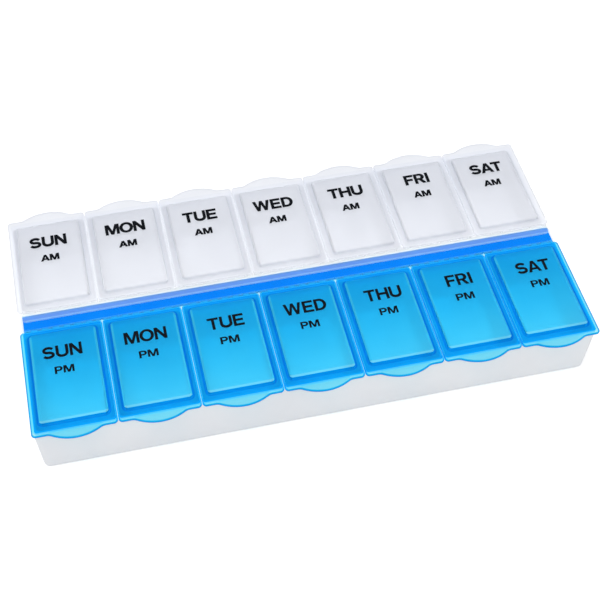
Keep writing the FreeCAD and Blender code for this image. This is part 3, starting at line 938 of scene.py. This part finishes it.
# A painted highlight: the strips are paler along the edge that faces the lids.
HIGHLIGHT_BAND, PAINTED_EDGE_HIGHLIGHT = 0.1, 0.3


def extruded_bar(profile, half):
    """A bar along X with this (y, z) profile."""
    return skin([[(x, y, z) for y, z in profile] for x in (-half, half)])


def round_lip_corners(bar, lip_edge):
    """Rounds the two upright edges at the ends of the lip that lies over the other strip."""
    upright = []
    for edge in bar.edges:
        low, high = (vert.co / MM for vert in edge.verts)
        if max(abs(low.y - lip_edge), abs(high.y - lip_edge), abs(low.x - high.x)) < WELD:
            upright.append(edge)
    bmesh.ops.bevel(
        bar, geom=upright, offset=LIP_CORNER * MM, segments=LIP_CORNER_STEPS, profile=0.5,
        affect="EDGES",
    )


def ease_edges(strip, width):
    """Rounds the strip's edges, and paints a highlight along the edge that faces the lids by
    making it paler there.
    """
    eased = strip.modifiers.new("eased_edges", "BEVEL")
    eased.width, eased.segments = width * MM, EASING_STEPS
    eased.limit_method, eased.angle_limit = "ANGLE", EASED_ANGLE
    settle(strip)
    depths_and_light = strip.data.attributes["depth_and_painted_light"].data
    for vert, depth_and_light in zip(strip.data.vertices, depths_and_light):
        # A painted highlight along the edge that faces the lids.
        if abs(vert.co.y) > (STRIP_EDGE - HIGHLIGHT_BAND) * MM:
            depth_and_light.value = PAINTED_EDGE_HIGHLIGHT


def paint_faces(strip, material, is_inside):
    """Gives the faces that lie wholly inside a region, in millimetres, a material of their own."""
    strip.data.materials.append(material)
    places = [vert.co / MM for vert in strip.data.vertices]
    for face in strip.data.polygons:
        if all(is_inside(places[number]) for number in face.vertices):
            face.material_index = len(strip.data.materials) - 1


def make_strip(row, profile, easing, looks, lip_edge=None):
    """A strip with its edges eased, and below it the denser rib that holds it in the deck's
    groove. looks are its material and its rib's."""
    name = {"pm": "evening_hinge_strip", "am": "morning_hinge_strip"}[row]
    bar = extruded_bar(profile, STRIP_HALF)
    if lip_edge is not None:
        round_lip_corners(bar, lip_edge)
    strip = as_object(as_mesh(bar, name), name)
    ease_edges(strip, easing)
    middle = ROW_SIDE[row] * GROOVE_MIDDLE
    low, high = middle - RIB_WALL / 2, middle + RIB_WALL / 2
    rib = extruded_bar(
        [(low, RIB_BOTTOM), (high, RIB_BOTTOM), (high, RIB_TOP), (low, RIB_TOP)], RIB_HALF
    )
    rib.from_mesh(strip.data)
    strip.data = as_mesh(rib, name)
    flatten_shading(strip)
    material, rib_material = looks
    finish_piece(strip, "tray", material, [f"{row}_hinge_strip"])
    paint_faces(
        strip, rib_material, lambda at: abs(at.y - middle) < RIB_WALL and at.z < RIB_TOP + WELD
    )
    if lip_edge is not None:
        # The lip's front edge gets the paler plastic of a painted highlight.
        paint_faces(strip, LIP_EDGE_HIGHLIGHT, lambda at: at.y < lip_edge + easing + WELD)


def make_strips():
    """The evening strip, and the morning strip behind it, whose lip lies over it."""
    seat = STRIP_SEAT
    rear, front = EVENING_REAR, EVENING_REAR + STRIP_FIT
    lip_edge = EVENING_REAR - LIP_OVERLAP
    lip_top, lip_under = FLANGE_TOP + LIP_RISE, FLANGE_TOP + LIP_GAP
    make_strip(
        "pm", [(-STRIP_EDGE, seat), (rear, seat), (rear, FLANGE_TOP), (-STRIP_EDGE, FLANGE_TOP)],
        EVENING_EASING, (STRIP_BLUE, RIB_BLUE),
    )
    make_strip(
        "am",
        [
            (front, seat), (STRIP_EDGE, seat), (STRIP_EDGE, FLANGE_TOP),
            (STRIP_EDGE - LIP_SHOULDER, lip_top), (lip_edge, lip_top), (lip_edge, lip_under),
            (front, lip_under),
        ],
        MORNING_EASING, (STRIP_FROSTED, TRAY_WHITE), lip_edge,
    )


# ---------------- printed marks
# Plain block capitals for the day and the half of the day, as a calendar has them. A letter is
# drawn one unit high: its outlines, the holes among them, and its width.

PEN = 0.2
LETTER_GAP = 0.1
# The ink is let a little into the panel, and stands a little proud of it.
PRINT_SINK, PRINT_RISE = 0.02, 0.035
PRINT_UNDER = FLANGE_UNDER + PANEL_TOP - PRINT_SINK
PRINT_TOP = FLANGE_UNDER + PANEL_TOP + PRINT_RISE


def bow(middle, reach, start, end, steps=14):
    """Points on an ellipse between two angles in degrees."""
    turns = [math.radians(start + (end - start) * k / steps) for k in range(steps + 1)]
    return [
        (middle[0] + reach[0] * math.cos(t), middle[1] + reach[1] * math.sin(t)) for t in turns
    ]


def pen_stroke(spine, pen=PEN):
    """The outline of a stroke of constant width along a spine of points."""
    one_side, other_side = [], []
    for k, (x, y) in enumerate(spine):
        x0, y0 = spine[max(k - 1, 0)]
        x1, y1 = spine[min(k + 1, len(spine) - 1)]
        run = math.hypot(x1 - x0, y1 - y0)
        across, along = (y0 - y1) / run * pen / 2, (x1 - x0) / run * pen / 2
        one_side.append((x + across, y + along))
        other_side.append((x - across, y - along))
    return one_side + other_side[::-1]


# The hole in a P and in an R.
EYE = [(0.2, 0.53), *bow((0.45, 0.69), (0.14, 0.16), -90, 90), (0.2, 0.85)]
LETTERS = {
    "A": ([[(0, 0), (0.22, 0), (0.295, 0.21), (0.705, 0.21), (0.78, 0), (1, 0), (0.615, 1),
            (0.385, 1)], [(0.355, 0.37), (0.645, 0.37), (0.5, 0.79)]], 1.0),
    "D": ([[(0, 0), *bow((0.39, 0.5), (0.49, 0.5), -90, 90), (0, 1)],
           [(0.2, 0.17), *bow((0.38, 0.5), (0.29, 0.33), -90, 90), (0.2, 0.83)]], 0.88),
    "E": ([[(0, 0), (0.78, 0), (0.78, 0.17), (0.2, 0.17), (0.2, 0.42), (0.72, 0.42),
            (0.72, 0.59), (0.2, 0.59), (0.2, 0.83), (0.77, 0.83), (0.77, 1), (0, 1)]], 0.78),
    "F": ([[(0, 0), (0.2, 0), (0.2, 0.41), (0.66, 0.41), (0.66, 0.58), (0.2, 0.58),
            (0.2, 0.83), (0.74, 0.83), (0.74, 1), (0, 1)]], 0.74),
    "H": ([[(0, 0), (0.2, 0), (0.2, 0.42), (0.7, 0.42), (0.7, 0), (0.9, 0), (0.9, 1),
            (0.7, 1), (0.7, 0.6), (0.2, 0.6), (0.2, 1), (0, 1)]], 0.9),
    "I": ([[(0, 0), (0.2, 0), (0.2, 1), (0, 1)]], 0.2),
    "M": ([[(0, 0), (0.19, 0), (0.19, 0.72), (0.445, 0), (0.635, 0), (0.89, 0.72), (0.89, 0),
            (1.08, 0), (1.08, 1), (0.8, 1), (0.54, 0.26), (0.28, 1), (0, 1)]], 1.08),
    "N": ([[(0, 0), (0.19, 0), (0.19, 0.68), (0.68, 0), (0.88, 0), (0.88, 1), (0.69, 1),
            (0.69, 0.33), (0.21, 1), (0, 1)]], 0.88),
    "O": ([bow((0.52, 0.5), (0.52, 0.515), 0, 350, 35),
           bow((0.52, 0.5), (0.31, 0.345), 0, 350, 35)], 1.04),
    "P": ([[(0, 0), (0.2, 0), (0.2, 0.36), *bow((0.47, 0.68), (0.33, 0.32), -90, 90), (0, 1)],
           EYE], 0.8),
    "R": ([[(0, 0), (0.2, 0), (0.2, 0.38), (0.37, 0.38), (0.62, 0), (0.87, 0), (0.59, 0.42),
            *bow((0.49, 0.69), (0.33, 0.31), -55, 90), (0, 1)], EYE], 0.87),
    "S": ([pen_stroke([*bow((0.44, 0.705), (0.32, 0.2), 22, 262, 24),
                       *bow((0.44, 0.3), (0.34, 0.205), 82, -158, 24)], 0.19)], 0.88),
    "T": ([[(0.31, 0), (0.51, 0), (0.51, 0.83), (0.82, 0.83), (0.82, 1), (0, 1), (0, 0.83),
            (0.31, 0.83)]], 0.82),
    "U": ([pen_stroke([(0.1, 1), (0.1, 0.6), *bow((0.45, 0.36), (0.35, 0.275), 180, 360, 20),
                       (0.8, 0.6), (0.8, 1)])], 0.9),
    "W": ([[(0, 1), (0.255, 0), (0.46, 0), (0.655, 0.72), (0.85, 0), (1.055, 0), (1.31, 1),
            (1.11, 1), (0.945, 0.29), (0.75, 1), (0.56, 1), (0.365, 0.29), (0.2, 1)]], 1.31),
}
# Pairs of letters that stand closer together or further apart than the others.
KERNING = {"AT": -0.14, "SA": -0.05, "MO": -0.04, "ON": -0.04, "WE": 0.02, "ED": 0.02}
# Baseline along Y, height and spread of the day's mark and of the half-day's, and how far the
# ink runs past their outlines.
MARKS = {
    "pm": ((-19.9, 5.6, 0.93, 0.05), (-27.4, 3.25, 1.12, 0.05)),
    "am": ((37.1, 5.35, 0.96, 0.14), (29.5, 3.05, 1.06, 0.14)),
}
# How far each day's print sits from its place on its lid, along X and along Y.
PRINT_SHIFT = {
    "pm": ((-1.0, -0.6), (-0.25, -0.3), (-0.1, -0.5), (0.4, -0.1), (0.8, -0.2), (1.05, 0.2),
           (1.1, 0.25)),
    "am": ((-0.65, -0.9), (-0.15, -0.25), (-0.15, -0.5), (-0.15, -0.5), (0.05, -0.3),
           (0.4, 0.45), (0.2, 0.3)),
}


def write(word, middle, baseline, height, spread, ink):
    """The word as a flat closed mesh in millimetres, printed on a panel's top."""
    gaps = [LETTER_GAP + KERNING.get(pair, 0.0) for pair in map("".join, zip(word, word[1:]))]
    width = sum(LETTERS[c][1] for c in word) + sum(gaps)
    curve = bpy.data.curves.new("word", "CURVE")
    curve.dimensions, curve.fill_mode = "2D", "BOTH"
    curve.extrude = (PRINT_TOP - PRINT_UNDER) / 2
    curve.offset = ink
    pen_x = -width / 2
    for letter, gap in zip(word, (*gaps, 0.0)):
        outlines, advance = LETTERS[letter]
        for outline in outlines:
            spline = curve.splines.new("POLY")
            spline.points.add(len(outline) - 1)
            spline.use_cyclic_u = True
            for point, (x, y) in zip(spline.points, outline):
                at = (middle + (pen_x + x) * height * spread, baseline + y * height)
                point.co = (*at, 0, 1)
        pen_x += advance + gap
    holder = as_object(curve, "word")
    mesh = evaluated_mesh(holder)
    bpy.data.objects.remove(holder)
    mesh.transform(Matrix.Translation((0, 0, (PRINT_TOP + PRINT_UNDER) / 2)))
    return mesh


def make_print(day, row):
    """The two marks of one lid."""
    across, back = PRINT_SHIFT[row][DAYS.index(day)]
    centre = day_centre(day) + across
    marks = bmesh.new()
    for word, (place, *size) in zip((day[:3].upper(), row.upper()), MARKS[row]):
        join_mesh(marks, write(word, centre, place + back, *size))
    bmesh.ops.remove_doubles(marks, verts=marks.verts[:], dist=WELD)
    bmesh.ops.scale(marks, vec=(MM, MM, MM), verts=marks.verts[:])
    name = f"{day}_{row}_print"
    mesh = as_mesh(marks, name)
    mesh.shade_flat()
    finish_piece(as_object(mesh, name), f"{day}_{row}_flap", PRINT_BLACK)


# ---------------- the object

make_tray()
make_strips()
films = film_tree()
for row_name in ROW_SIDE:
    for day_name in DAYS:
        make_lid(day_name, row_name)
        make_film(day_name, row_name, films)
        make_print(day_name, row_name)


# ---------------- stage, light and camera

FLOOR_HALF = 3.0
FLOOR_PATCH = 1000 / 3
# The glow that the camera sees on the floor, so that it meets the white backdrop.
FLOOR_LIFT = 0.34
# The room's light low down and overhead: as it falls on things, and as they mirror it.
LIGHT_LEVELS, MIRRORED_LEVELS = (0.55, 1.2), (1.0, 0.15)
# Between these heights on a sphere round the object the mirrored light fades.
MIRRORED_HEIGHTS = (0.25, 0.7)
# The camera's turn, rise and roll in degrees, its place and its lens in millimetres.
CAMERA_TURNS = (-13.539, 51.048, 0.706)
CAMERA_PLACE = (-72.205, -310.251, 404.095)
SENSOR, LENS = 36.0, 74.52


def make_floor():
    """A plain white floor. What the camera sees of it is a touch brighter than it is lit, and it
    keeps the object's shadow."""
    corners = [(-1, -1), (1, -1), (1, 1), (-1, 1)]
    mesh = bpy.data.meshes.new("floor")
    mesh.from_pydata([(x * FLOOR_HALF, y * FLOOR_HALF, 0) for x, y in corners], [], [range(4)])
    floor = as_object(mesh, "floor")
    material, tree, surface, place = new_material("white floor")
    soft = noise(tree, place, FLOOR_PATCH, Detail=2.0)
    tint = shade_ramp(tree, soft, ((0.71, 0.715, 0.725), (0.74, 0.743, 0.75)))
    tree.links.new(tint, surface.inputs["Base Color"])
    surface.inputs["Roughness"].default_value = 0.8
    surface.inputs["Specular IOR Level"].default_value = 0.1
    surface.inputs["Emission Color"].default_value = (1, 1, 1, 1)
    sight = add_node(tree, "ShaderNodeLightPath").outputs["Is Camera Ray"]
    lift = add_node(tree, "ShaderNodeMath", {"operation": "MULTIPLY"}, _0=sight, _1=FLOOR_LIFT)
    tree.links.new(lift.outputs[0], surface.inputs["Emission Strength"])
    floor.data.materials.append(material)


def make_world():
    """Soft studio light. Seen directly or through the lids it is white, and in reflections it is
    white low down and darker overhead."""
    world = bpy.data.worlds.new("studio")
    bpy.context.scene.world = world
    world.use_nodes = True
    tree = world.node_tree
    tree.nodes.clear()
    direction = add_node(tree, "ShaderNodeTexCoord").outputs["Generated"]
    height = add_node(tree, "ShaderNodeSeparateXYZ", Vector=direction).outputs["Z"]
    rays = add_node(tree, "ShaderNodeLightPath").outputs
    level = add_node(
        tree, "ShaderNodeMapRange", Value=height, To_Min=LIGHT_LEVELS[0], To_Max=LIGHT_LEVELS[1]
    ).outputs[0]
    mirrored = add_node(
        tree, "ShaderNodeMapRange", Value=height, From_Min=MIRRORED_HEIGHTS[0],
        From_Max=MIRRORED_HEIGHTS[1], To_Min=MIRRORED_LEVELS[0], To_Max=MIRRORED_LEVELS[1],
    ).outputs[0]
    for kind, shown in (
        ("Is Glossy Ray", mirrored), ("Is Transmission Ray", 1.0), ("Is Camera Ray", 1.0)
    ):
        level = add_node(
            tree, "ShaderNodeMix", {"data_type": "FLOAT"}, _0=rays[kind], _2=level, _3=shown
        ).outputs[0]
    soft = add_node(tree, "ShaderNodeBackground", Color=(1, 1, 1, 1), Strength=level).outputs[0]
    add_node(tree, "ShaderNodeOutputWorld", Surface=soft)


def make_lamp(name, place, size, power):
    """A square soft box that looks at the middle of the object."""
    light = bpy.data.lights.new(name, "AREA")
    light.size, light.energy = size, power
    lamp = as_object(light, name)
    lamp.location = place
    lamp.rotation_mode = "QUATERNION"
    lamp.rotation_quaternion = (-Vector(place)).to_track_quat("-Z", "Y")
    lamp.visible_transmission = False


def make_camera():
    """A long lens above the front, a little to the left, as the object is usually shown."""
    turn, rise, roll = map(math.radians, CAMERA_TURNS)
    back = Vector((
        math.sin(turn) * math.cos(rise), -math.cos(turn) * math.cos(rise), math.sin(rise)
    ))
    right = (-back).cross(Vector((0, 0, 1))).normalized()
    up = right.cross(-back)
    level = math.cos(roll) * right + math.sin(roll) * up
    upright = -math.sin(roll) * right + math.cos(roll) * up
    lens = bpy.data.cameras.new("camera")
    lens.sensor_width, lens.lens = SENSOR, LENS
    lens.clip_start, lens.clip_end = 0.01, 20.0
    camera = as_object(lens, "camera")
    turned = Matrix((level, upright, back)).transposed().to_4x4()
    camera.matrix_world = Matrix.Translation(Vector(CAMERA_PLACE) * MM) @ turned
    bpy.context.scene.camera = camera


make_floor()
make_world()
make_lamp("top_softbox", place=(-0.25, -0.30, 1.20), size=0.45, power=5.0)
make_camera()
bpy.context.scene.view_settings.view_transform = "Standard"
